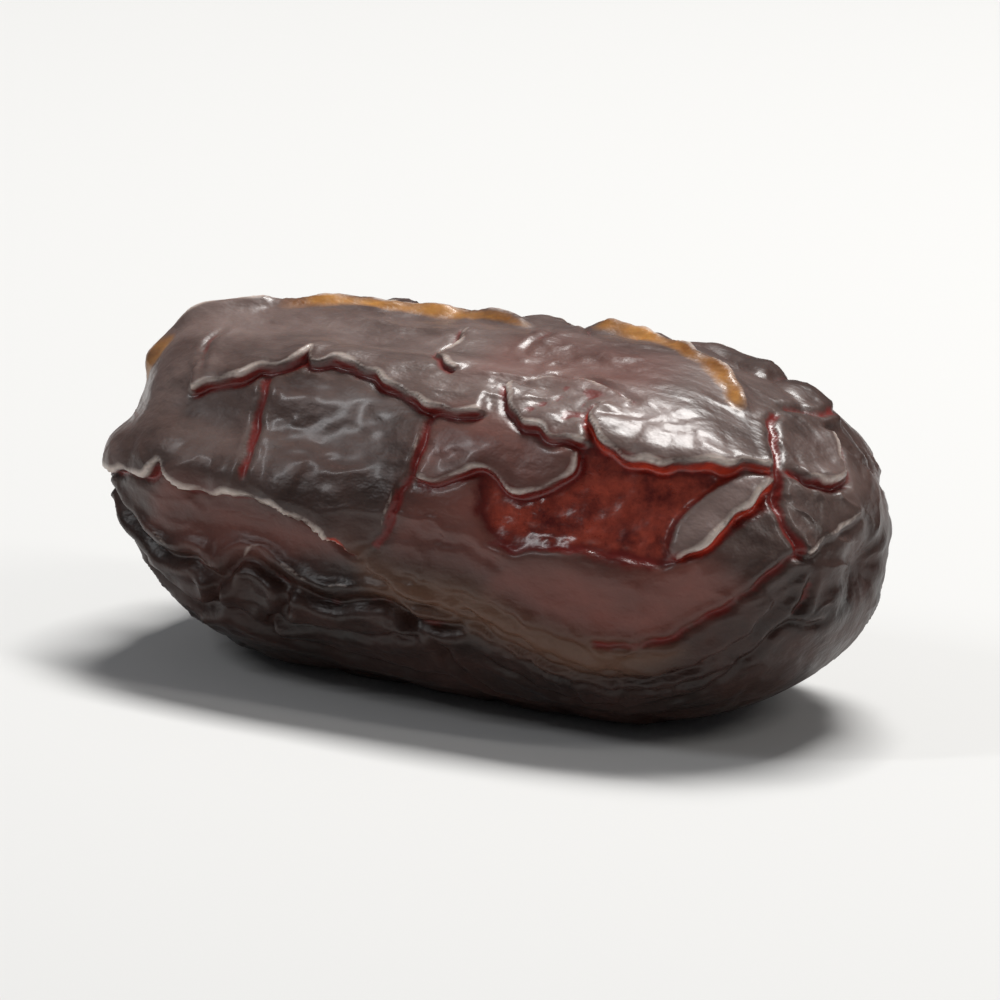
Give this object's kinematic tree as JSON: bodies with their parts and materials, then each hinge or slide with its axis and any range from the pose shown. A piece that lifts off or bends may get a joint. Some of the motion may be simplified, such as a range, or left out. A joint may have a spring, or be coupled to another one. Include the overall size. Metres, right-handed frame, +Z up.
{
  "type": "date fruit",
  "caption": "Whole dried soft date lying on its side, with a folded glossy brown skin and a dry woody calyx cap on its stem end.",
  "frame": {"origin": "middle of the date's box, on the surface it rests on", "axes": "+X along the fruit from the stem end to the apex, +Z up"},
  "size_m": [0.0486, 0.025, 0.0221],
  "materials": {
    "date_skin": "soft gloss",
    "dry_calyx": "matt"
  },
  "bodies": {
    "root": {"fruit": "date_skin", "calyx": "dry_calyx"}
  },
  "joints": []
}
